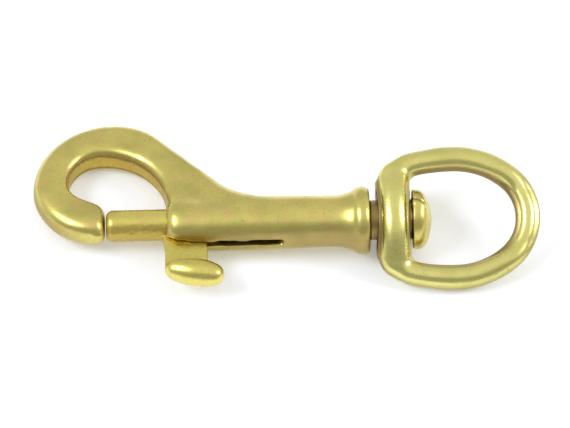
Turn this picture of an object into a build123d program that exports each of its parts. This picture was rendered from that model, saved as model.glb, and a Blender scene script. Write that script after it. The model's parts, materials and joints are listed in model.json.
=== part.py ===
from build123d import *
import math
import os

# Cast brass trigger snap, millimetres. It is drawn with the barrel's axis along X and the mouth
# at X = 0, the hook to -X, the swivel eye to +X, the hook's crown to +Y and the trigger to -Y.
# At the end it is laid down as it comes to rest: on the barrel's mouth, the collar, the hook's
# crown and the side of the eye.

# Barrel: a slight taper from the arm's end, a flare and a rounded collar
barrel_r = 5.5
barrel_len = 40.6
flare_r = 6.1
flare_angle = 24.0
flare_arc_r = 11.0
collar_r = 6.9
collar_len = 3.2
rear_r = 6.3

# Hook: heel, crown, shoulder and arm outside, an egg-shaped opening inside
hook_thick = 7.0
outer_edge_r = 3.0
inner_edge_r = 1.8
crown_r = 16.2
crown_setback = 1.8
crown_width = 8.4
back_width = 7.2
shoulder_r = 12.3
throat_r = 13.0
lip_r = 4.2
lip_angle = 25.0
gate_len = 12.2
nose_len = 1.7
nose_half = 3.7
nose_r = 2.4

# Arm: its flat web swells into the round barrel over a ramp, and its outer side ends in a hollow
arm_angle = 45.0
arm_hollow_r = 14.0
ramp_shares = (0.0, 0.14, 0.27, 0.41, 0.63, 1.0)
web_drop_share = 0.32
web_crest = 1.2
web_end_rise = 0.4
web_stations = 12
run_out_angle = 5.7
side_angle = 1.5

# Bolt with its trigger, one casting
bolt_r = 3.2
bolt_clear = 0.1
bolt_tip_r = 1.4
bolt_tip_gap = 0.15
bolt_guide_len = 10.4
bolt_travel = 13.8
stem_front = 0.9
stem_len = 9.1
stem_thick = 1.2
stem_clear = 0.15
stem_waist = 0.5
stop_clear = 0.4
slot_runout = 1.0
tab_drop = 10.6
tab_front = 0.4
tab_len = 11.9
tab_width = 5.8
tab_end_r = 2.3
tab_sink = 1.6
tab_tilt = 12.0

# Spring in the bore
wire_d = 0.8
spring_clear = 0.25
spring_turns = 7
wire_sides = 4

# Swivel rivet
post_r = 4.0
tail_len = 5.0
head_r = 6.0
head_rim = 0.9
head_corner_r = 2.0
head_height = 3.9
head_clear = 0.3

# Swivel eye: a D of round bar whose straight side is a wider bar, swollen round the rivet's post
eye_bar_d = 5.1
eye_inner_width = 19.0
eye_inner_len = 20.9
eye_gap = 1.2
eye_corner_r = 3.6
eye_side_r = 36.0
eye_end_r = 10.6
eye_belly_len = 8.7
boss_thick = 7.0
boss_r = 6.0
boss_end_share = 0.45
swivel_clear = 0.1

# One overrun serves every cut, one tolerance finds edges by place and one joins the hook to the arm
overrun = 5.0
tolerance = 0.001
join_tolerance = 0.01

# Sizes that follow from those above
bore_r = bolt_r + bolt_clear
slot_width = stem_thick + 2 * stem_clear
stem_rear_x = stem_len - stem_front
slot_len = stem_rear_x + bolt_travel + stop_clear
crown_back = gate_len - crown_setback
back_x = -crown_back - crown_r
inner_back_x = back_x + back_width
heel_r = -back_x - gate_len - nose_len
crown_rise = heel_r - nose_half
crown_top_y = crown_rise + crown_r
inner_top_y = crown_top_y - crown_width
collar_x = barrel_len - collar_len / 2
post_len = eye_gap + boss_thick + head_clear
boss_x = barrel_len + eye_gap + boss_thick / 2
eye_half_width = (eye_inner_width + eye_bar_d) / 2
eye_belly_x = boss_x + boss_thick / 2 + eye_belly_len
eye_end_x = boss_x + boss_thick / 2 + eye_inner_len + eye_bar_d / 2


def polar(centre, radius, angle):
    """Point at an angle, in degrees, on a circle in the XY plane."""
    turn = math.radians(angle)
    return (centre[0] + radius * math.cos(turn), centre[1] + radius * math.sin(turn))


def arc(centre, radius, start, end):
    """Arc in the XY plane between two angles in degrees."""
    points = [polar(centre, radius, angle) for angle in (start, (start + end) / 2, end)]
    return ThreePointArc(*points)


def slab(outline, thick):
    """Solid with a closed XY outline, centred on Z = 0."""
    return Pos(0, 0, -thick / 2) * extrude(make_face(outline), thick)


def polygon(*points):
    """Closed outline of straight lines."""
    return [Line(*pair) for pair in zip(points, points[1:] + points[:1])]


# The arm's outer side: shoulder arc, straight slope, and the hollow where it meets the barrel
shoulder = (-crown_back, crown_top_y - shoulder_r)
arm_top = polar(shoulder, shoulder_r, 90 - arm_angle)
arm_slope = math.tan(math.radians(arm_angle))
arm_foot_x = arm_top[0] + (arm_top[1] - barrel_r) / arm_slope
hollow_len = arm_hollow_r * math.tan(math.radians(arm_angle) / 2)
hollow_start_x = arm_foot_x - hollow_len * math.cos(math.radians(arm_angle))
hollow_end_x = arm_foot_x + hollow_len


def arm_height(x):
    """Distance of the arm's outer side from the barrel's axis, at x."""
    if x < arm_top[0]:
        return shoulder[1] + math.sqrt(shoulder_r**2 - (x - shoulder[0]) ** 2)
    if x < hollow_start_x:
        return arm_top[1] - (x - arm_top[0]) * arm_slope
    return barrel_r + arm_hollow_r - math.sqrt(arm_hollow_r**2 - (hollow_end_x - x) ** 2)


def hook_blank():
    """Hook plate without its opening, from the nose to the crown's top, with a rounded edge."""
    heel = (back_x + heel_r, crown_rise)
    crown = (-crown_back, crown_rise)
    outline = [
        Line((-gate_len, -nose_half), polar(heel, heel_r, 270)),
        arc(heel, heel_r, 270, 180),
        arc(crown, crown_r, 180, 90),
        Line((-crown_back, crown_top_y), (-crown_back, 0)),
        Line((-crown_back, 0), (-gate_len, 0)),
        Line((-gate_len, 0), (-gate_len, -nose_half)),
    ]
    plate = slab(outline, hook_thick)
    flats = plate.faces().filter_by(Axis.Z).edges()
    rim = [edge for edge in flats if not is_cut_side(edge @ 0.5)]
    return fillet(rim, outer_edge_r)


def is_cut_side(point):
    """True for a point on the blank's straight inner sides, which other solids or cuts cover."""
    on_nose = abs(point.X + gate_len) < tolerance
    on_crown = abs(point.X + crown_back) < tolerance
    return on_nose or on_crown or abs(point.Y) < tolerance


def web_section(x):
    """Face across the arm at x: the barrel's round, the ramp, the flat web and its rounded edge."""
    top = arm_height(x)
    full_drop = barrel_r - hook_thick / 2
    drop = min(full_drop, max(0, web_drop_share * (top - barrel_r - web_crest)))
    half = barrel_r - drop
    run_out_side = barrel_r * math.sin(math.radians(side_angle))
    flat_side = hook_thick / 2 - outer_edge_r
    side = run_out_side + (flat_side - run_out_side) * drop / full_drop
    edge_r = half - side
    edge_y = top - edge_r
    heights = (barrel_r, barrel_r, half, half, half, half)
    ramp = Bezier(*[(share * edge_y, height) for share, height in zip(ramp_shares, heights)])
    upper = [ramp, arc((edge_y, side), edge_r, 90, 0)]
    return closed_section(x, upper, Line((top, side), (top, -side)))


def run_out_section(x):
    """Face across the barrel at x, its circle cut into as many edges as a web section has."""
    spans = ((90, 90 - run_out_angle), (90 - run_out_angle, side_angle))
    upper = [arc((0, 0), barrel_r, *span) for span in spans]
    return closed_section(x, upper, arc((0, 0), barrel_r, side_angle, -side_angle))


def closed_section(x, upper, side):
    """Face at x with these upper edges, the same below them, and the barrel's half circle."""
    lower = [mirror(edge, Plane.XZ) for edge in upper]
    edges = upper + [side] + lower + [arc((0, 0), barrel_r, 90, 270)]
    return Plane((x, 0, 0), x_dir=(0, 1, 0), z_dir=(1, 0, 0)) * make_face(edges)


def arm_web():
    """Loft from the crown's top to the plain barrel."""
    web_end_x = hollow_end_x - math.sqrt(web_end_rise * (2 * arm_hollow_r - web_end_rise))
    step = (web_end_x + crown_back) / (web_stations - 1)
    places = [-crown_back + number * step for number in range(web_stations)]
    return loft([web_section(x) for x in places] + [run_out_section(hollow_end_x)])


def barrel_rear():
    """Solid of revolution: the barrel behind the arm, tapering to a flare and a rounded collar."""
    flare_x = barrel_len - collar_len
    flare = polar((flare_x, -flare_r), flare_arc_r, 270 - flare_angle)
    start = (hollow_end_x, -barrel_r)
    bearing = math.degrees(math.atan2(start[1] - flare[1], start[0] - flare[0]))
    touch = bearing - math.degrees(math.acos(flare_arc_r / math.dist(start, flare)))
    outline = [
        Line((hollow_end_x, 0), start),
        Line(start, polar(flare, flare_arc_r, touch)),
        arc(flare, flare_arc_r, touch, 90 - flare_angle),
        ThreePointArc((flare_x, -flare_r), (collar_x, -collar_r), (barrel_len, -rear_r)),
        Line((barrel_len, -rear_r), (barrel_len, 0)),
        Line((barrel_len, 0), (hollow_end_x, 0)),
    ]
    return revolve(make_face(outline), Axis.X)


def opening_cut():
    """Hook opening, the rounded nose and the gate below it that the bolt closes."""
    throat = (-throat_r, inner_top_y - throat_r)
    lip_x = inner_back_x + lip_r
    slope = math.radians(lip_angle)
    lip_y = nose_half + (lip_r - (lip_x + gate_len) * math.sin(slope)) / math.cos(slope)
    lip = (lip_x, lip_y)
    nose_back = nose_r * math.tan((math.pi / 2 - slope) / 2)
    nose = (-gate_len - nose_r, nose_half - nose_back)
    floor_y = -barrel_r - overrun
    outline = [
        Line((-gate_len, floor_y), (0, floor_y)),
        Line((0, floor_y), (0, throat[1])),
        arc(throat, throat_r, 0, 90),
        EllipticalCenterArc(
            (-throat_r, lip_y), -throat_r - inner_back_x, inner_top_y - lip_y,
            start_angle=90, arc_size=90,
        ),
        arc(lip, lip_r, 180, 270 - lip_angle),
        Line(polar(lip, lip_r, 270 - lip_angle), polar(nose, nose_r, 90 - lip_angle)),
        arc(nose, nose_r, 90 - lip_angle, 0),
        Line((-gate_len, nose[1]), (-gate_len, floor_y)),
    ]
    return slab(outline, 2 * (barrel_r + overrun))


def slot_cut():
    """Trigger slot along the barrel's -Y side, open at the mouth and running out at its end."""
    end_x = slot_len + slot_runout
    floor_y = -barrel_r - overrun
    outline = polygon(
        (-overrun, 0), (slot_len, 0), (slot_len, -bore_r), (end_x, -barrel_r),
        (end_x, floor_y), (-overrun, floor_y),
    )
    return slab(outline, slot_width)


def rounded_lips(solid, opening):
    """The solid with its edges along the opening rounded, apart from those on the crown's joint."""
    lips = solid.edges().filter_by(Axis.Z, reverse=True)
    lips = [edge for edge in lips if opening.distance_to(edge @ 0.5) < tolerance]
    lips = [edge for edge in lips if abs((edge @ 0.5).X + crown_back) > tolerance]
    return fillet(lips, inner_edge_r)


def snap_body():
    """Hook, arm, barrel and collar as one casting, bored and slotted."""
    opening = opening_cut()
    hook = rounded_lips(hook_blank() - opening, opening)
    arm = rounded_lips(arm_web() + barrel_rear() - opening, opening)
    bore = Pos(barrel_len / 2, 0, 0) * Rot(0, 90, 0) * Cylinder(bore_r, barrel_len + 2 * overrun)
    casting = hook.solid().fuse(arm.solid(), tol=join_tolerance)
    return casting - bore - slot_cut()


def thumb_egg():
    """Oval solid of revolution about X: two round ends and a flank that is tangent to both."""
    half = tab_width / 2
    inset = tab_len / 2 - tab_end_r
    flank_r = (inset**2 + half**2 - tab_end_r**2) / (2 * (half - tab_end_r))
    meet = math.degrees(math.atan2(flank_r - half, inset))
    outline = [
        arc((inset, 0), tab_end_r, 0, meet),
        arc((0, half - flank_r), flank_r, meet, 180 - meet),
        arc((-inset, 0), tab_end_r, 180 - meet, 180),
        Line((-tab_len / 2, 0), (tab_len / 2, 0)),
    ]
    return revolve(make_face(outline), Axis.X)


def trigger_bolt():
    """Round bolt, the thin stem that runs in the slot and the egg-shaped thumb tab below it."""
    tip_x = -gate_len + bolt_tip_gap
    bolt_len = bolt_guide_len - tip_x
    bolt = Pos(tip_x + bolt_len / 2, 0, 0) * Rot(0, 90, 0) * Cylinder(bolt_r, bolt_len)
    tip = bolt.edges().sort_by(Axis.X)[0]
    bolt = fillet(tip, bolt_tip_r)
    foot_y = -tab_drop - tab_sink
    waist = (stem_waist - stem_front, -(bolt_r + tab_drop) / 2)
    outline = [
        Line((-stem_front, 0), (stem_rear_x, 0)),
        Line((stem_rear_x, 0), (stem_rear_x, foot_y)),
        Line((stem_rear_x, foot_y), (waist[0], foot_y)),
        Line((waist[0], foot_y), (waist[0], -tab_drop)),
        ThreePointArc((waist[0], -tab_drop), waist, (-stem_front, -bolt_r)),
        Line((-stem_front, -bolt_r), (-stem_front, 0)),
    ]
    stem = slab(outline, stem_thick)
    egg = Pos(tab_len / 2 - tab_front, foot_y, 0) * Rot(0, 0, -tab_tilt) * thumb_egg()
    rim_cut = Pos(0, tab_len - tab_drop, 0) * Box(4 * tab_len, 2 * tab_len, 2 * tab_width)
    return bolt + stem + (egg - rim_cut)


def bolt_spring():
    """Compression spring between the bolt and the rivet's tail, with a faceted wire."""
    front_x = bolt_guide_len + wire_d / 2
    height = barrel_len - tail_len - wire_d / 2 - front_x
    coil_r = bore_r - spring_clear - wire_d / 2
    line = Helix(height / spring_turns, height, coil_r, center=(front_x, 0, 0), direction=(1, 0, 0))
    section = Plane(line @ 0, z_dir=line % 0) * RegularPolygon(wire_d / 2, wire_sides)
    return sweep(section, path=line, is_frenet=True)


def swivel_rivet():
    """Tail pressed in the bore, post that the eye turns on, and a domed head inside the eye."""
    tail_x = barrel_len - tail_len
    head_x = barrel_len + post_len
    dome_x = head_x + head_rim
    rise = head_height - head_rim
    inset = head_r - head_corner_r
    dome_r = (rise**2 + inset**2 - head_corner_r**2) / (2 * (rise - head_corner_r))
    dome_centre_x = head_x + head_height - dome_r
    corner = (dome_x, -inset)
    meet = -math.degrees(math.atan2(inset, dome_x - dome_centre_x))
    outline = [
        Line((tail_x, 0), (tail_x, -bore_r)),
        Line((tail_x, -bore_r), (barrel_len, -bore_r)),
        Line((barrel_len, -bore_r), (barrel_len, -post_r)),
        Line((barrel_len, -post_r), (head_x, -post_r)),
        Line((head_x, -post_r), (head_x, -head_r)),
        Line((head_x, -head_r), (dome_x, -head_r)),
        arc(corner, head_corner_r, -90, meet),
        arc((dome_centre_x, 0), dome_r, meet, 0),
        Line((head_x + head_height, 0), (tail_x, 0)),
    ]
    return revolve(make_face(outline), Axis.X)


# Centres of the eye's corner and side arcs, and the angle where those two arcs meet
eye_side = (eye_belly_x, eye_half_width - eye_side_r)
eye_corner_x = boss_x + eye_corner_r
eye_corner_run = math.sqrt((eye_side_r - eye_corner_r) ** 2 - (eye_belly_x - eye_corner_x) ** 2)
eye_corner = (eye_corner_x, eye_side[1] + eye_corner_run)
eye_meet = 180 - math.degrees(math.atan2(eye_corner_run, eye_belly_x - eye_corner_x))


def eye_half_path():
    """Centre line of half of the eye's bar, from the boss to the far end, in the XY plane."""
    end_x = eye_end_x - eye_end_r
    spread = end_x - eye_belly_x
    quarter_r = (spread**2 + eye_half_width**2 - eye_end_r**2) / (2 * (eye_half_width - eye_end_r))
    quarter = (eye_belly_x, eye_half_width - quarter_r)
    turn = math.degrees(math.atan2(-quarter[1], spread))
    return Wire([
        Line((boss_x, 0), (boss_x, eye_corner[1])),
        arc(eye_corner, eye_corner_r, 180, eye_meet),
        arc(eye_side, eye_side_r, eye_meet, 90),
        arc(quarter, quarter_r, 90, turn),
        arc((end_x, 0), eye_end_r, turn, 0),
    ])


def crossbar():
    """Straight side of the D: a spindle round the rivet with domed ends, flat on both faces."""
    end_y = eye_corner[1] + eye_corner_r * boss_end_share
    end_r = boss_thick / 2
    outline = [
        ThreePointArc((-end_y, end_r), (0, boss_r), (end_y, end_r)),
        arc((end_y, 0), end_r, 90, 0),
        Line((end_y + end_r, 0), (-end_y - end_r, 0)),
        arc((-end_y, 0), end_r, 180, 90),
    ]
    spindle = Pos(boss_x, 0, 0) * Rot(0, 0, 90) * Rot(90, 0, 0) * revolve(make_face(outline), Axis.X)
    return spindle & Pos(boss_x, 0, 0) * Box(boss_thick, 4 * end_y, 4 * boss_r)


def swivel_eye():
    """D-shaped ring with a swollen crossbar, bored for the rivet's post."""
    path = eye_half_path()
    section = Plane(path @ 0, z_dir=path % 0) * Circle(eye_bar_d / 2)
    half = sweep(section, path=path)
    ring = half + mirror(half, Plane.XZ)
    hole = Pos(boss_x, 0, 0) * Rot(0, 90, 0) * Cylinder(post_r + swivel_clear, boss_thick + overrun)
    return ring + crossbar() - hole


def rest_angles():
    """Pitch and roll of the barrel and tilt of the eye, in degrees, when the snap lies on a table.

    The barrel lies on its mouth and its collar, rolls until the hook's crown touches, and the eye
    swivels until its side does."""
    slope = (collar_r - barrel_r) / collar_x
    pitch = math.atan(slope)
    reach = crown_r - outer_edge_r
    drop = barrel_r - crown_back * slope - hook_thick / 2
    spare = reach**2 - crown_rise**2
    root = math.sqrt((crown_rise * drop) ** 2 + spare * (drop**2 - (reach * slope) ** 2))
    roll = math.asin((root - crown_rise * drop) / spare)
    axis_height = collar_r / math.cos(pitch) + (eye_belly_x - collar_x) * math.sin(pitch)
    tilt = math.asin((axis_height - eye_bar_d / 2) / (eye_half_width * math.cos(pitch)))
    return [math.degrees(angle) for angle in (pitch, roll, tilt)]


def main():
    pitch, roll, tilt = rest_angles()
    pieces = {
        "snap_body": Rot(-roll, 0, 0) * snap_body(),
        "trigger_bolt": Rot(-roll, 0, 0) * trigger_bolt(),
        "bolt_spring": Rot(-roll, 0, 0) * bolt_spring(),
        "swivel_rivet": Rot(-roll, 0, 0) * swivel_rivet(),
        "swivel_eye": Rot(tilt, 0, 0) * swivel_eye(),
    }
    laid = {name: Rot(0, -pitch, 0) * piece for name, piece in pieces.items()}
    box = Compound(list(laid.values())).bounding_box()
    floor_z = -barrel_r * math.cos(math.radians(pitch))
    to_origin = Pos(-box.center().X, -box.center().Y, -floor_z)
    print("pitch", pitch, "roll", roll, "eye tilt", tilt)
    print("size", box.size, "mouth at", to_origin.position)
    os.makedirs("parts", exist_ok=True)
    for name, piece in laid.items():
        export_step(to_origin * piece, f"parts/{name}.step")


main()
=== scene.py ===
import json
import math

import bpy
import numpy as np
from mathutils import Matrix, Vector, noise

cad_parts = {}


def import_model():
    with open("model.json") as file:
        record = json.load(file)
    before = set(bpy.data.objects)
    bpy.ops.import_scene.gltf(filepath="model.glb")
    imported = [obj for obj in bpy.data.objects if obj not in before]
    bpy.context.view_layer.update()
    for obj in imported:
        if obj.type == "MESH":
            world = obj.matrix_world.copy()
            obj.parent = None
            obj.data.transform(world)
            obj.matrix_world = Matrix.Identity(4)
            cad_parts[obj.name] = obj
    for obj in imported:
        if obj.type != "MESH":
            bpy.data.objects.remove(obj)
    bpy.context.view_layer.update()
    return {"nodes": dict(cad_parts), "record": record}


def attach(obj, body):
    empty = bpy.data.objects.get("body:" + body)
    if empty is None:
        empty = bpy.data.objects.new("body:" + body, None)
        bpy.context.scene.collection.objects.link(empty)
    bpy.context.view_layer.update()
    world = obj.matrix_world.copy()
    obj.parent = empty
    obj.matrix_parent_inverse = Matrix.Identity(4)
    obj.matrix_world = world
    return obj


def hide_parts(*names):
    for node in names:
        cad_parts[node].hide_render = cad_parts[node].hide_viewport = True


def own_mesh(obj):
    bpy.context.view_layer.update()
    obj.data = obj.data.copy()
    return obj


# Finish, light and camera for a cast brass trigger snap. Every length is in metres.
MM = 0.001

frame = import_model()
scene = bpy.context.scene

# Places on the snap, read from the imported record
joints = {joint["name"]: joint for joint in frame["record"]["behaviour"]["joints"]}
mounts = {mount["name"]: mount for mount in frame["record"]["mounts"]}
BARREL_AXIS = Vector(joints["trigger_slide"]["axis"]).normalized()
EYE_PIVOT = Vector(joints["eye_swivel"]["pos_m"])
EYE_CENTRE = Vector(mounts["eye_opening"]["pos_m"])
EYE_NORMAL = np.array(mounts["eye_opening"]["axis"])
HOOK_NORMAL = Vector(mounts["hook_opening"]["axis"]).normalized()
HOOK_SIDE = HOOK_NORMAL.cross(BARREL_AXIS).normalized()

# Sizes that repeat those of the solids
BARREL_LEN = 40.6 * MM
BORE_R = 3.3 * MM
TAIL_LEN = 5.0 * MM
BOLT_REAR = 10.4 * MM
BOSS_FROM_COLLAR = 4.7 * MM
BOSS_HALF = 3.5 * MM
HEAD_FROM_COLLAR = 8.5 * MM
HEAD_HEIGHT = 3.9 * MM
OPENING_CENTRE = np.array((-11.5 * MM, 8.6 * MM, 0))
OPENING_REACH = 12.0 * MM

# Local frame: from the barrel's mouth, along the barrel, across it to the crown, and up
MOUTH = EYE_PIVOT - BARREL_AXIS * (BARREL_LEN + BOSS_FROM_COLLAR)
LOCAL_AXES = np.array((BARREL_AXIS, HOOK_SIDE, HOOK_NORMAL))
LOCAL_ALONG = np.array((1, 0, 0))
LOCAL_UP = np.array((0, 0, 1))
EYE_CENTRE_LOCAL = LOCAL_AXES @ np.array(EYE_CENTRE - MOUTH)
EYE_NORMAL_LOCAL = LOCAL_AXES @ EYE_NORMAL

# Camera, fitted to the photograph: angles in degrees, focal length and shift in its pixels
IMAGE_WIDTH = 570
CAMERA_AZIMUTH = 4.2
CAMERA_ELEVATION = 54.0
CAMERA_ROLL = 3.2
CAMERA_DISTANCE = 800.0 * MM
CAMERA_FOCAL = 3991.0
CAMERA_SHIFT = (1.24, -10.84)
CAMERA_AIM = Vector((0, 0, 6 * MM))
SENSOR_WIDTH = 36

# Lamps: azimuth and elevation in degrees, distance from the snap, size and power
LAMPS = {
    "left": {"azimuth": 256, "elevation": 49, "distance": 0.9, "size": (0.42, 0.28), "power": 2.6},
    "right": {"azimuth": 92, "elevation": 36, "distance": 0.9, "size": (0.26, 0.34), "power": 1.8},
}
LAMP_COLOUR = (0.94, 1.0, 1.18)

# Room: the ceiling's edge is an angle from straight above towards the viewer, in degrees
ROOM_FRONT = (0.4, 0.4, 0.4, 1)
ROOM_CEILING = (0.86, 0.86, 0.86, 1)
ROOM_BACK = (0.7, 0.7, 0.7, 1)
CEILING_EDGE = 40.0
EDGE_FADE = (-0.15, 0.2)
CEILING_FADE = (-0.2, 0.9)

# Floor
FLOOR_HALF = 3.0
FLOOR_COLOUR = (0.95, 0.96, 0.98, 1)
FLOOR_ROUGHNESS = 0.9
FLOOR_GLOW_COLOUR = (1, 1, 1, 1)
FLOOR_GLOW = 0.2

# Finished meshes: voxel size, smoothing, wear, unevenness, and hollows as shares of a voxel
VOXELS = {
    "snap_body": 0.24 * MM,
    "trigger_bolt": 0.17 * MM,
    "swivel_rivet": 0.17 * MM,
    "swivel_eye": 0.19 * MM,
}
WELD_DISTANCE = 0.003 * MM
SMOOTH_STEPS = 14
SMOOTH_FACTOR = 0.5
WEAR_STEPS = 130
UNEVEN_DEPTH = 0.05 * MM
FINE_UNEVEN_DEPTH = 0.03 * MM
UNEVEN_SIZE = 4.5 * MM
RAW_DEPTH = 0.11 * MM
RAW_SIZE = 0.9 * MM
RECESS_STEPS = 12
HOLLOW_SHARES = (0.1, 0.35)
LEAST_REACH = 1.0 * MM
NOISE_OFFSETS = (7.3, 3.1, 5.7)
NOISE_FALLOFF = 1.0
NOISE_LACUNARITY = 2.0
NOISE_OCTAVES = 2

# Wear of the body: each zone is two limits, between which its wear rises or fades
WEB_FRONT = (-5.0 * MM, 0)
WEB_REAR = (21.0 * MM, 26.0 * MM)
WEB_NEAR_SIDE = (-3.5 * MM, -0.5 * MM)
WEB_FAR_SIDE = (10.0 * MM, 15.0 * MM)
WEB_HEIGHT = (2.4 * MM, 3.2 * MM)
BORE_WALL = (0.6 * MM, 1.3 * MM)
HEEL_REAR = (-16.0 * MM, -13.0 * MM)
HEEL_SIDE = (2.0 * MM, 9.0 * MM)
RIM_FRONT = (-3.0 * MM, -1.0 * MM)
RIM_REAR = (2.5 * MM, 5.0 * MM)
RIM_SIDE = (3.0 * MM, 5.0 * MM)
RIM_WEAR_SHARE = 0.9
LIP_REACH_SHARES = (1.0, 1.2)
LIP_HEIGHT = (1.0 * MM, 2.0 * MM)
LIP_REAR = (-1.0 * MM, 0)
LIP_WEAR_SHARE = 0.85

# Marks of the body: a slope is 0 on a wall and 1 on a flat face, and a turn is 1 to the opening
OPENING_REACH_SHARES = (1.0, 1.25)
OPENING_REAR = (-0.4 * MM, 0.2 * MM)
OPENING_TURN_SHARES = (0.25, 0.45)
RAW_SLOPE_SHARES = (0.2, 0.45)
# Painted shade: a dark line along the top of the hook's inner wall, and the side walls darkened.
BORDER_START_SHARES = (0.05, 0.25)
BORDER_END_SHARES = (0.3, 0.45)
BORDER_PAINTED_SHADE_SHARE = 0.8
FLANK_SLOPE_SHARES = (0.2, 0.75)
FLANK_PAINTED_SHADE_SHARE = 0.65

# Marks of the bolt
# The lower side is raw cast metal and is also darkened with painted shade; a painted dark reflection runs
# along the back.
UNDER_TURN_SHARES = (-0.8, -0.3)
UNDER_RAW_SHARE = 0.7
UNDER_PAINTED_SHADE_SHARE = 0.25
STEM_TOP = (-4.2 * MM, -3.4 * MM)
STEM_FOOT = (-11.5 * MM, -10.5 * MM)
STEM_RAW_SHARE = 0.15
BACK_SIDE = (0, 1.0 * MM)
BACK_TURN_SHARES = (0.5, 0.75)
BACK_PAINTED_REFLECTION_SHARE = 0.7

# Marks of the rivet: fold angles in degrees, swell turn in radians, lump in shares of the fold's width
# Painted shade: the post between the collar and the head is darkened.
POST_END = (-0.2 * MM, 0.4 * MM)
POST_PAINTED_SHADE_SHARE = 0.85
HEAD_SEAT = (0, 1.0 * MM)
SWELL_DEPTH = 0.1 * MM
SWELL_LOBES = 3
SWELL_TURN = 0.7
SWELL_RADII = (1.5 * MM, 5.0 * MM)
FOLD_ANGLE = 84.0
FOLD_LEAN = 14.0
FOLD_WIDTH = 0.3 * MM
FOLD_FOOT = (-0.3 * MM, 0.2 * MM)
FOLD_TOP = (1.9 * MM, 2.9 * MM)
FOLD_DEPTH = 0.28 * MM
FOLD_STAIN_SHARE = 0.9
LUMP_HEIGHT = 0.16 * MM
LUMP_OFFSET_SHARE = 3.0
LUMP_WIDTH_SHARE = 2.0

# Wear and marks of the eye: lengths along the barrel are from the collar's end
BAR_END = (10.5 * MM, 16.0 * MM)
RING_WEAR_SHARE = 0.2
BAR_SIDES = (5.0 * MM, 10.0 * MM)
BAR_FACE_SHARES = (0.2, 0.7)
BAR_FRONT_DEPTH = 1.0 * MM
BAR_REAR_DEPTH = 0.62 * MM
CORNER_START = 11.0 * MM
CORNER_SHARE = 0.5
# Painted shade: the eye's inner wall, its outer edge and the crossbar's face towards the collar are
# darkened.
WALL_TURN_SHARES = (0.2, 0.45)
WALL_SLOPE_SHARES = (0.45, 0.84)
WALL_PAINTED_SHADE_SHARE = 0.9
BAR_WALL_SHARE = 0.3
BAR_WALL_END = (8.0 * MM, 10.0 * MM)
OUTER_TURN_SHARES = (0.25, 0.6)
OUTER_SLOPE_SHARES = (0.2, 0.8)
OUTER_PAINTED_SHADE_SHARE = 0.6
COLLAR_SIDE = (2.5 * MM, 4.0 * MM)
COLLAR_TURN_SHARES = (0.6, 0.9)
COLLAR_PAINTED_SHADE_SHARE = 0.9

# Patterns in brass: each band of noise has a feature size, the values that become 0 and 1, and detail
BANDS = {
    "cloud": (7.0 * MM, 0.38, 0.66, 4.0),
    "blush": (2.4 * MM, 0.48, 0.74, 4.0),
    "speck": (0.5 * MM, 0.5, 0.75, 2.0),
    "pit": (0.85 * MM, 0.72, 0.78, 1.0),
    "grain": (0.11 * MM, 0.2, 0.8, 3.0),
    "lines": (0.22 * MM, 0.3, 0.7, 2.0),
    "lump": (0.6 * MM, 0.3, 0.7, 2.0),
}
BRUSH_SCALE = (0.08, 1.0, 1.0)
# The stain mark is mostly painted shade on shaded walls, edges and gaps; a little of it is the stain in
# the rivet's fold.
MARKS = ("raw", "stain_and_painted_shade", "recess")

# How far each pattern tints, dulls and lifts brass, the last in shares of the grain's depth
RAW_COLOUR = (0.58, 0.43, 0.08, 1)
BLUSH_SHARE = 0.75
RAW_SHARE = 0.9
PIT_SHARE = 0.45
RECESS_SHARE = 0.75
SPECK_DULL_SHARE = 0.4
DULL_SHARES = {"cloud": 0.07, "lines": 0.05, "recess": 0.2, "raw": 0.15, "stain_and_painted_shade": 0.15}
SPECK_RELIEF_SHARE = -2.0
LUMP_RELIEF_SHARE = 6.0
RELIEF_SHARES = {"grain": 0.35, "lines": 0.3, "pit": -3.0}
BUMP_STRENGTH = 0.6

# Brass of each piece
BRASSES = {
    "body_brass": {
        "base": (0.74, 0.64, 0.185, 1),
        "shade": (0.6, 0.53, 0.15, 1),
        "warm": (0.77, 0.53, 0.2, 1),
        "tarnish_and_painted_shade": (0.3, 0.2, 0.08, 1),
        "gloss": 0.25,
        "grain_depth": 0.01 * MM,
        "mottle_share": 0.22,
    },
    "bolt_brass": {
        "base": (0.8, 0.7, 0.18, 1),
        "shade": (0.68, 0.59, 0.15, 1),
        "warm": (0.79, 0.58, 0.19, 1),
        "tarnish_and_painted_shade": (0.34, 0.22, 0.07, 1),
        "gloss": 0.24,
        "grain_depth": 0.01 * MM,
        "mottle_share": 0.2,
    },
    "rivet_brass": {
        "base": (0.76, 0.67, 0.19, 1),
        "shade": (0.65, 0.56, 0.155, 1),
        "warm": (0.77, 0.56, 0.21, 1),
        "tarnish_and_painted_shade": (0.3, 0.2, 0.08, 1),
        "gloss": 0.24,
        "grain_depth": 0.012 * MM,
        "mottle_share": 0.16,
    },
    "eye_brass": {
        "base": (0.8, 0.75, 0.25, 1),
        "shade": (0.7, 0.65, 0.2, 1),
        "warm": (0.79, 0.65, 0.25, 1),
        "tarnish_and_painted_shade": (0.3, 0.21, 0.09, 1),
        "gloss": 0.22,
        "grain_depth": 0.006 * MM,
        "mottle_share": 0.08,
    },
}

# Spring
WIRE_R = 0.4 * MM
COIL_R = 2.65 * MM
SPRING_TURNS = 7
WIRE_SIDES = 12
STEPS_PER_TURN = 36
WIRE_COLOUR = (0.34, 0.31, 0.26, 1)
WIRE_SHADE = (0.2, 0.16, 0.11, 1)
WIRE_BAND = (1.5 * MM, 0.35, 0.7, 4.0)
WIRE_GLOSS = 0.3
WIRE_DULL_SHARE = 0.15

# Sockets of the colour mix node, which has one set for each kind of value
MIX_INPUTS = (0, 6, 7)
MIX_OUTPUT = 2


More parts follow.
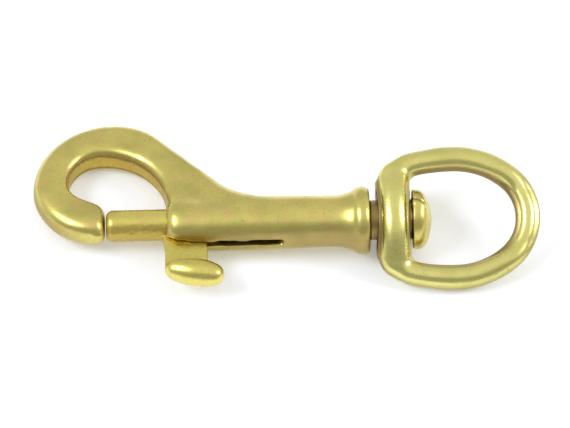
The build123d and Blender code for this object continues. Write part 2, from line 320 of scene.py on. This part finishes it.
def camera():
    """Camera at the photograph's angle, with the snap where the photograph has it."""
    angles = (CAMERA_AZIMUTH, CAMERA_ELEVATION, CAMERA_ROLL)
    azimuth, elevation, roll = (math.radians(angle) for angle in angles)
    level = math.cos(elevation)
    forward = Vector((math.sin(azimuth) * level, math.cos(azimuth) * level, -math.sin(elevation)))
    flat_right = Vector((math.cos(azimuth), -math.sin(azimuth), 0))
    flat_up = flat_right.cross(forward)
    right = flat_right * math.cos(roll) + flat_up * math.sin(roll)
    up = flat_up * math.cos(roll) - flat_right * math.sin(roll)
    pixel = CAMERA_DISTANCE / CAMERA_FOCAL
    aim = CAMERA_AIM - right * CAMERA_SHIFT[0] * pixel + up * CAMERA_SHIFT[1] * pixel
    data = bpy.data.cameras.new("camera")
    data.sensor_width = SENSOR_WIDTH
    data.lens = CAMERA_FOCAL / IMAGE_WIDTH * SENSOR_WIDTH
    obj = bpy.data.objects.new("camera", data)
    scene.collection.objects.link(obj)
    matrix = Matrix((right, up, -forward)).transposed().to_4x4()
    matrix.translation = aim - forward * CAMERA_DISTANCE
    obj.matrix_world = matrix
    scene.camera = obj


def add_node(tree, kind, inputs=None, **settings):
    """New shader node with its settings, and its inputs given as values or as sockets to link."""
    made = tree.nodes.new(kind)
    for name, value in settings.items():
        setattr(made, name, value)
    for name, value in (inputs or {}).items():
        if isinstance(value, bpy.types.NodeSocket):
            tree.links.new(value, made.inputs[name])
        else:
            made.inputs[name].default_value = value
    return made


def ramp(tree, value, low, high):
    """The socket's value, brought from low and high to a smooth rise from 0 to 1."""
    band = {"Value": value, "From Min": low, "From Max": high}
    return add_node(tree, "ShaderNodeMapRange", band, interpolation_type="SMOOTHSTEP").outputs["Result"]


def noise_band(tree, place, size, low, high, detail):
    """Noise of one feature size, spread from 0 at low to 1 at high."""
    grain = add_node(tree, "ShaderNodeTexNoise", {"Vector": place, "Scale": 1 / size, "Detail": detail})
    return ramp(tree, grain.outputs["Fac"], low, high)


def mixed(tree, share, first, second):
    """Colour between two colours or sockets."""
    inputs = dict(zip(MIX_INPUTS, (share, first, second)))
    return add_node(tree, "ShaderNodeMix", inputs, data_type="RGBA").outputs[MIX_OUTPUT]


def scaled(tree, value, factor, offset=0.0):
    """The socket's value times a factor, plus an offset."""
    inputs = {0: value, 1: factor, 2: offset}
    return add_node(tree, "ShaderNodeMath", inputs, operation="MULTIPLY_ADD").outputs[0]


def total(tree, *values):
    """Sum of sockets."""
    result = values[0]
    for value in values[1:]:
        result = add_node(tree, "ShaderNodeMath", {0: result, 1: value}, operation="ADD").outputs[0]
    return result


def product(tree, first, second):
    """Product of two sockets."""
    return add_node(tree, "ShaderNodeMath", {0: first, 1: second}, operation="MULTIPLY").outputs[0]


def surface_mark(tree, name):
    """Value that the finished mesh holds at each point, such as recess or raw."""
    return add_node(tree, "ShaderNodeAttribute", attribute_name=name).outputs["Fac"]


def metal(name):
    """New metallic material: itself, its node tree, its shader and the place on the object."""
    material = bpy.data.materials.new(name)
    material.use_nodes = True
    tree = material.node_tree
    shader = tree.nodes["Principled BSDF"]
    shader.inputs["Metallic"].default_value = 1.0
    place = add_node(tree, "ShaderNodeTexCoord").outputs["Object"]
    return material, tree, shader, place


def brass(name, base, shade, warm, tarnish_and_painted_shade, gloss, grain_depth, mottle_share):
    """Cast and hand-polished brass: mottled, with uneven gloss, grain, pits, raw walls, tarnish, and
    painted shade where the stain mark lies.
    """
    material, tree, shader, place = metal(name)
    brushed = add_node(tree, "ShaderNodeMapping", {"Vector": place, "Scale": BRUSH_SCALE}).outputs[0]
    places = {"lines": brushed}
    patterns = {band: noise_band(tree, places.get(band, place), *values) for band, values in BANDS.items()}
    patterns |= {mark: surface_mark(tree, mark) for mark in MARKS}

    layers = (
        ("blush", BLUSH_SHARE, warm),
        ("raw", RAW_SHARE, RAW_COLOUR),
        ("speck", mottle_share, tarnish_and_painted_shade),
        ("pit", PIT_SHARE, tarnish_and_painted_shade),
        ("recess", RECESS_SHARE, tarnish_and_painted_shade),
    )
    colour = mixed(tree, patterns["cloud"], base, shade)
    for pattern, share, tone in layers:
        colour = mixed(tree, scaled(tree, patterns[pattern], share), colour, tone)
    # Painted shade: the stain mark darkens shaded walls, edges and gaps towards the tarnish colour.
    colour = mixed(tree, patterns["stain_and_painted_shade"], colour, tarnish_and_painted_shade)
    tree.links.new(colour, shader.inputs["Base Color"])

    dull = [scaled(tree, patterns["speck"], SPECK_DULL_SHARE * mottle_share, gloss)]
    dull += [scaled(tree, patterns[pattern], share) for pattern, share in DULL_SHARES.items()]
    tree.links.new(total(tree, *dull), shader.inputs["Roughness"])

    raw_lump = product(tree, patterns["raw"], patterns["lump"])
    heights = [
        scaled(tree, patterns["speck"], SPECK_RELIEF_SHARE * mottle_share),
        scaled(tree, raw_lump, LUMP_RELIEF_SHARE),
    ]
    heights += [scaled(tree, patterns[pattern], share) for pattern, share in RELIEF_SHARES.items()]
    relief = {"Height": total(tree, *heights), "Distance": grain_depth, "Strength": BUMP_STRENGTH}
    bump = add_node(tree, "ShaderNodeBump", relief)
    tree.links.new(bump.outputs["Normal"], shader.inputs["Normal"])
    return material


def spring_steel():
    """Drawn wire: dull brown-grey metal, cloudy in colour and gloss."""
    material, tree, shader, place = metal("spring_wire")
    cloud = noise_band(tree, place, *WIRE_BAND)
    tree.links.new(mixed(tree, cloud, WIRE_COLOUR, WIRE_SHADE), shader.inputs["Base Color"])
    tree.links.new(scaled(tree, cloud, WIRE_DULL_SHARE, WIRE_GLOSS), shader.inputs["Roughness"])
    return material


def mesh_arrays(mesh):
    """Points, normals and edges of a mesh as arrays."""
    count = len(mesh.vertices)
    points = np.empty(count * 3)
    normals = np.empty(count * 3)
    edges = np.empty(len(mesh.edges) * 2, dtype=np.int64)
    mesh.vertices.foreach_get("co", points)
    mesh.vertices.foreach_get("normal", normals)
    mesh.edges.foreach_get("vertices", edges)
    return points.reshape(-1, 3), normals.reshape(-1, 3), edges.reshape(-1, 2)


def neighbour_count(edges, count):
    """How many neighbours each point has."""
    first, second = edges.T
    return np.bincount(first, minlength=count) + np.bincount(second, minlength=count)


def neighbour_sum(values, edges):
    """Sum of the neighbours' values at each point."""
    first, second = edges.T
    count = len(values)
    return np.bincount(first, values[second], count) + np.bincount(second, values[first], count)


def spread(values, edges, steps):
    """Values averaged with those of the neighbouring points, several times."""
    joined = neighbour_count(edges, len(values))
    for _ in range(steps):
        values = (values + neighbour_sum(values, edges)) / (1 + joined)
    return values


def hollowness(points, normals, edges):
    """How far each point lies below its neighbours, along its normal, in metres."""
    first, second = edges.T
    count = len(points)
    rise = np.einsum("ij,ij->i", points[second] - points[first], normals[first])
    fall = np.einsum("ij,ij->i", points[first] - points[second], normals[second])
    below = np.bincount(first, rise, count) + np.bincount(second, fall, count)
    return below / neighbour_count(edges, count)


def worn(points, edges, shares):
    """Points drawn towards the middle of their neighbours, most where the share is 1."""
    joined = neighbour_count(edges, len(points))
    pull = (shares * SMOOTH_FACTOR)[:, None]
    for _ in range(WEAR_STEPS):
        sums = np.stack([neighbour_sum(axis, edges) for axis in points.T], axis=1)
        points = points + pull * (sums / joined[:, None] - points)
    return points


def sunken(points, size, seed):
    """Smooth noise at each point, from about 0 down to minus two."""
    offset = Vector([seed * step for step in NOISE_OFFSETS])
    settings = (NOISE_FALLOFF, NOISE_LACUNARITY, NOISE_OCTAVES)
    return np.array([noise.fractal(Vector(point) / size + offset, *settings) for point in points]) - 1


def smooth_step(values, low, high):
    """0 below low, 1 above high and a smooth rise between them."""
    share = np.clip((values - low) / (high - low), 0, 1)
    return share * share * (3 - 2 * share)


def fade(values, low, high):
    """1 below low, 0 above high and a smooth fall between them."""
    return smooth_step(-values, -high, -low)


def bell(values):
    """1 at 0, and a smooth fall to about 0 at 2 on either side."""
    return np.exp(-(values**2))


def turned_to(centre, local, normals, axis):
    """How far each point's normal turns to a centre, and its distance, seen along an axis."""
    inward = centre - local
    inward = inward - np.outer(inward @ axis, axis)
    reach = np.linalg.norm(inward, axis=1)
    facing = np.einsum("ij,ij->i", inward, normals) / np.maximum(reach, LEAST_REACH)
    return facing, reach


def past_collar(local):
    """Distance behind the collar's end, along the barrel."""
    return local[:, 0] - BARREL_LEN


def past_seat(local):
    """Distance behind the seat of the rivet's head, along the barrel."""
    return past_collar(local) - HEAD_FROM_COLLAR


def even_wear(local):
    """Worn alike all over, by the first smoothing alone."""
    return np.zeros(len(local))


def body_wear(local):
    """The arm's web, where it flows into the barrel, the hook's heel and lip, and the mouth's rim."""
    along, across, height = local.T
    off_bore = smooth_step(np.hypot(across, height) - BORE_R, *BORE_WALL)
    web = off_bore * smooth_step(along, *WEB_FRONT) * fade(along, *WEB_REAR)
    web = web * smooth_step(across, *WEB_NEAR_SIDE) * fade(across, *WEB_FAR_SIDE)
    web = web * smooth_step(np.abs(height), *WEB_HEIGHT)
    heel = fade(along, *HEEL_REAR) * fade(across, *HEEL_SIDE)
    rim = off_bore * smooth_step(along, *RIM_FRONT) * fade(along, *RIM_REAR) * fade(across, *RIM_SIDE)
    reach = np.hypot(along - OPENING_CENTRE[0], across - OPENING_CENTRE[1])
    lip = fade(reach / OPENING_REACH, *LIP_REACH_SHARES) * fade(along, *LIP_REAR)
    lip = lip * smooth_step(np.abs(height), *LIP_HEIGHT)
    return np.max((web, heel, RIM_WEAR_SHARE * rim, LIP_WEAR_SHARE * lip), axis=0)


def eye_wear(local):
    """The eye's straight side and its corners, and a little of the ring."""
    return np.maximum(fade(past_collar(local), *BAR_END), RING_WEAR_SHARE)


def body_marks(local, normals):
    """Raw: the hook's inner wall, which no wheel reaches. Painted shade: a dark line along the wall's top
    edge, and the side walls away from the opening darkened.
    """
    facing, reach = turned_to(OPENING_CENTRE, local, normals, LOCAL_UP)
    near = fade(reach / OPENING_REACH, *OPENING_REACH_SHARES) * fade(local[:, 0], *OPENING_REAR)
    inside = near * smooth_step(facing, *OPENING_TURN_SHARES)
    slope = np.abs(normals[:, 2])
    raw = inside * fade(slope, *RAW_SLOPE_SHARES)
    border = inside * smooth_step(slope, *BORDER_START_SHARES) * fade(slope, *BORDER_END_SHARES)
    flank_shade = (1 - near) * fade(slope, *FLANK_SLOPE_SHARES)
    return raw, np.maximum(BORDER_PAINTED_SHADE_SHARE * border, FLANK_PAINTED_SHADE_SHARE * flank_shade)


def bolt_marks(local, normals):
    """Raw: the bolt's lower side and its stem, left as cast. Painted shade: the lower side darkened, and a
    painted dark reflection along its back.
    """
    across = local[:, 1]
    turn = normals[:, 1]
    under = fade(turn, *UNDER_TURN_SHARES) * smooth_step(across, *STEM_TOP)
    stem = fade(across, *STEM_TOP) * smooth_step(across, *STEM_FOOT)
    back = smooth_step(across, *BACK_SIDE) * smooth_step(turn, *BACK_TURN_SHARES)
    raw = np.maximum(UNDER_RAW_SHARE * under, STEM_RAW_SHARE * stem)
    return raw, np.maximum(BACK_PAINTED_REFLECTION_SHARE * back, UNDER_PAINTED_SHADE_SHARE * under)


def fold_place(local):
    """Distance across the peened fold on the rivet's head, and a share that is 1 along the fold."""
    around = np.degrees(np.arctan2(local[:, 2], local[:, 1]))
    radius = np.hypot(local[:, 1], local[:, 2])
    height = past_seat(local)
    course = FOLD_ANGLE + FOLD_LEAN * height / HEAD_HEIGHT
    across = np.radians((around - course + 180) % 360 - 180) * radius
    return across, smooth_step(height, *FOLD_FOOT) * fade(height, *FOLD_TOP)


def rivet_marks(local, normals):
    """Painted shade: the post between the collar and the head, darkened. Stained: the peened fold."""
    post = fade(past_seat(local), *POST_END)
    across, length = fold_place(local)
    fold = length * bell(across / FOLD_WIDTH)
    return np.zeros(len(local)), np.maximum(POST_PAINTED_SHADE_SHARE * post, FOLD_STAIN_SHARE * fold)


def eye_marks(local, normals):
    """Painted shade: the inner wall, the outer edge, and the face against the collar, darkened."""
    facing, _ = turned_to(EYE_CENTRE_LOCAL, local, normals, EYE_NORMAL_LOCAL)
    slope = np.abs(normals @ EYE_NORMAL_LOCAL)
    behind = past_collar(local)
    wall = WALL_PAINTED_SHADE_SHARE * smooth_step(facing, *WALL_TURN_SHARES) * fade(slope, *WALL_SLOPE_SHARES)
    wall = wall * (BAR_WALL_SHARE + (1 - BAR_WALL_SHARE) * smooth_step(behind, *BAR_WALL_END))
    outer = OUTER_PAINTED_SHADE_SHARE * smooth_step(-facing, *OUTER_TURN_SHARES) * fade(slope, *OUTER_SLOPE_SHARES)
    face = fade(behind, *COLLAR_SIDE) * smooth_step(-normals[:, 0], *COLLAR_TURN_SHARES)
    return np.zeros(len(local)), np.max((wall, outer, COLLAR_PAINTED_SHADE_SHARE * face), axis=0)


def plain_relief(local, normals):
    """No relief beyond the casting's unevenness."""
    return np.zeros(len(local))


def rivet_relief(local, normals):
    """Head as it was peened: swollen in lobes, and a fold of metal with a lump beside it."""
    around = np.arctan2(local[:, 2], local[:, 1])
    radius = np.hypot(local[:, 1], local[:, 2])
    swell = SWELL_DEPTH * np.cos(SWELL_LOBES * around + SWELL_TURN) * smooth_step(radius, *SWELL_RADII)
    across, length = fold_place(local)
    widths = across / FOLD_WIDTH
    groove = -FOLD_DEPTH * bell(widths)
    lump = LUMP_HEIGHT * bell((widths - LUMP_OFFSET_SHARE) / LUMP_WIDTH_SHARE)
    return smooth_step(past_seat(local), *HEAD_SEAT) * swell + length * (groove + lump)


def eye_relief(local, normals):
    """The eye's straight side, rounded more towards its two faces, and its outer corners."""
    slope = np.abs(normals @ EYE_NORMAL_LOCAL)
    aside = np.abs(local @ np.cross(EYE_NORMAL_LOCAL, LOCAL_ALONG))
    from_middle = past_collar(local) - BOSS_FROM_COLLAR
    depth = np.where(from_middle > 0, BAR_REAR_DEPTH, BAR_FRONT_DEPTH)
    on_bar = fade(aside, *BAR_SIDES) * smooth_step(slope, *BAR_FACE_SHARES)
    rounding = depth * on_bar * np.minimum((from_middle / BOSS_HALF) ** 2, 1)
    corner = CORNER_SHARE * np.maximum(aside - from_middle - CORNER_START, 0) * (1 - slope)
    return -rounding - corner


def smoothed_copy(node):
    """Even mesh of a solid's form, with its edges softened."""
    solid = frame["nodes"][node]
    work = bpy.data.objects.new(node + "_work", solid.data.copy())
    scene.collection.objects.link(work)
    weld = work.modifiers.new("weld", "WELD")
    weld.merge_threshold = WELD_DISTANCE
    remesh = work.modifiers.new("remesh", "REMESH")
    remesh.mode = "VOXEL"
    remesh.voxel_size = VOXELS[node]
    wrap = work.modifiers.new("wrap", "SHRINKWRAP")
    wrap.target = solid
    soften = work.modifiers.new("soften", "SMOOTH")
    soften.factor = SMOOTH_FACTOR
    soften.iterations = SMOOTH_STEPS
    ready = work.evaluated_get(bpy.context.evaluated_depsgraph_get())
    mesh = bpy.data.meshes.new_from_object(ready)
    bpy.data.objects.remove(work)
    mesh.name = node + "_finish"
    mesh.materials.clear()
    return mesh


def set_points(mesh, points):
    """Moves a mesh's points."""
    mesh.vertices.foreach_set("co", points.ravel())
    mesh.update()


def finished(
    node, body, slot, marks, wear=even_wear, relief=plain_relief, uneven=UNEVEN_DEPTH, seed=1
):
    """Casting that stands for a solid: the same form with worn edges, an uneven skin and its marks,
    painted shade among them.
    """
    mesh = smoothed_copy(node)
    points, normals, edges = mesh_arrays(mesh)
    local = (points - np.array(MOUTH)) @ LOCAL_AXES.T
    set_points(mesh, worn(points, edges, wear(local)))

    points, normals, edges = mesh_arrays(mesh)
    turned = normals @ LOCAL_AXES.T
    # The second mark is mostly painted shade, with the stain of the rivet's fold.
    raw, stain_and_painted_shade = marks(local, turned)
    hollow = spread(hollowness(points, normals, edges), edges, RECESS_STEPS)
    recess = smooth_step(hollow / VOXELS[node], *HOLLOW_SHARES)
    height = uneven * sunken(points, UNEVEN_SIZE, seed) + relief(local, turned)
    height = height + raw * RAW_DEPTH * sunken(points, RAW_SIZE, seed + 1)
    set_points(mesh, points + normals * height[:, None])
    for name, values in zip(MARKS, (raw, stain_and_painted_shade, recess)):
        mesh.attributes.new(name, "FLOAT", "POINT").data.foreach_set("value", values.astype(np.float32))
    mesh.polygons.foreach_set("use_smooth", [True] * len(mesh.polygons))
    mesh.update()
    mesh.materials.append(materials[slot])

    piece = bpy.data.objects.new(node + "_finish", mesh)
    scene.collection.objects.link(piece)
    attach(piece, body)
    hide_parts(node)


def spring_mesh():
    """Round wire wound in even turns from the bolt's rear to the rivet's tail, with flat cut ends."""
    start = BOLT_REAR + WIRE_R
    length = BARREL_LEN - TAIL_LEN - WIRE_R - start
    pitch = length / SPRING_TURNS / (2 * math.pi * COIL_R)
    steps = SPRING_TURNS * STEPS_PER_TURN
    points = []
    for step in range(steps + 1):
        share = step / steps
        turn = 2 * math.pi * SPRING_TURNS * share
        out = HOOK_SIDE * math.cos(turn) + HOOK_NORMAL * math.sin(turn)
        centre = MOUTH + BARREL_AXIS * (start + length * share) + out * COIL_R
        round_turn = HOOK_NORMAL * math.cos(turn) - HOOK_SIDE * math.sin(turn)
        across = (round_turn + BARREL_AXIS * pitch).normalized().cross(out)
        for side in range(WIRE_SIDES):
            angle = 2 * math.pi * side / WIRE_SIDES
            points.append(centre + (out * math.cos(angle) + across * math.sin(angle)) * WIRE_R)
    faces = []
    for step in range(steps):
        for side in range(WIRE_SIDES):
            corner = step * WIRE_SIDES + side
            beside = step * WIRE_SIDES + (side + 1) % WIRE_SIDES
            faces.append((corner, beside, beside + WIRE_SIDES, corner + WIRE_SIDES))
    faces.append(tuple(reversed(range(WIRE_SIDES))))
    faces.append(tuple(range(steps * WIRE_SIDES, (steps + 1) * WIRE_SIDES)))
    mesh = bpy.data.meshes.new("bolt_spring_finish")
    mesh.from_pydata(points, [], faces)
    mesh.polygons.foreach_set("use_smooth", [True] * len(mesh.polygons))
    mesh.materials.append(spring_steel())
    return mesh


def spring():
    """Compression spring behind the bolt, reaching to the rivet's tail, fixed to the body."""
    piece = bpy.data.objects.new("bolt_spring_finish", spring_mesh())
    scene.collection.objects.link(piece)
    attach(piece, "body")
    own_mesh(piece)
    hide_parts("bolt_spring")


def seen_directly(tree):
    """1 for rays from the camera and for reflected and transmitted rays, 0 for the others."""
    path = add_node(tree, "ShaderNodeLightPath")
    rays = [path.outputs[name] for name in ("Is Camera Ray", "Is Glossy Ray", "Is Transmission Ray")]
    seen = total(tree, *rays)
    return add_node(tree, "ShaderNodeMath", {0: seen, 1: 1.0}, operation="MINIMUM").outputs[0]


def floor():
    """Plain white table that keeps the snap's shadow."""
    mesh = bpy.data.meshes.new("floor")
    corners = [(-1, -1), (1, -1), (1, 1), (-1, 1)]
    mesh.from_pydata([(x * FLOOR_HALF, y * FLOOR_HALF, 0) for x, y in corners], [], [(0, 1, 2, 3)])
    obj = bpy.data.objects.new("floor", mesh)
    scene.collection.objects.link(obj)
    material = bpy.data.materials.new("floor_white")
    material.use_nodes = True
    tree = material.node_tree
    shader = tree.nodes["Principled BSDF"]
    shader.inputs["Base Color"].default_value = FLOOR_COLOUR
    shader.inputs["Roughness"].default_value = FLOOR_ROUGHNESS
    shader.inputs["Emission Color"].default_value = FLOOR_GLOW_COLOUR
    tree.links.new(scaled(tree, seen_directly(tree), FLOOR_GLOW), shader.inputs["Emission Strength"])
    mesh.materials.append(material)


def world():
    """Room with a pale ceiling that ends above the viewer, a darker front and a duller back."""
    made = bpy.data.worlds.new("room")
    scene.world = made
    made.use_nodes = True
    tree = made.node_tree
    direction = add_node(tree, "ShaderNodeTexCoord").outputs["Generated"]
    split = add_node(tree, "ShaderNodeSeparateXYZ", {"Vector": direction}).outputs
    edge = math.radians(CEILING_EDGE)
    back = scaled(tree, split["Y"], math.cos(edge))
    above = scaled(tree, split["Z"], math.sin(edge))
    ceiling = mixed(tree, ramp(tree, split["Y"], *CEILING_FADE), ROOM_CEILING, ROOM_BACK)
    room = mixed(tree, ramp(tree, total(tree, back, above), *EDGE_FADE), ROOM_FRONT, ceiling)
    tree.links.new(room, tree.nodes["Background"].inputs["Color"])


def lamp(name, azimuth, elevation, distance, size, power):
    """Softbox that faces the snap."""
    data = bpy.data.lights.new(name, "AREA")
    data.shape = "RECTANGLE"
    data.size, data.size_y = size
    data.energy = power
    data.color = LAMP_COLOUR
    obj = bpy.data.objects.new(name, data)
    scene.collection.objects.link(obj)
    turn, rise = math.radians(azimuth), math.radians(elevation)
    level = math.cos(rise)
    obj.location = Vector((math.sin(turn) * level, math.cos(turn) * level, math.sin(rise))) * distance
    obj.rotation_euler = (-obj.location).to_track_quat("-Z", "Y").to_euler()


scene.view_settings.view_transform = "Standard"
materials = {name: brass(name, **values) for name, values in BRASSES.items()}
camera()
world()
floor()
for lamp_name, values in LAMPS.items():
    lamp(lamp_name, **values)
finished("snap_body", "body", "body_brass", body_marks, wear=body_wear, seed=1)
finished("trigger_bolt", "bolt", "bolt_brass", bolt_marks, uneven=FINE_UNEVEN_DEPTH, seed=3)
finished(
    "swivel_rivet", "body", "rivet_brass", rivet_marks,
    relief=rivet_relief, uneven=FINE_UNEVEN_DEPTH, seed=5,
)
finished(
    "swivel_eye", "eye", "eye_brass", eye_marks,
    wear=eye_wear, relief=eye_relief, uneven=FINE_UNEVEN_DEPTH, seed=7,
)
spring()
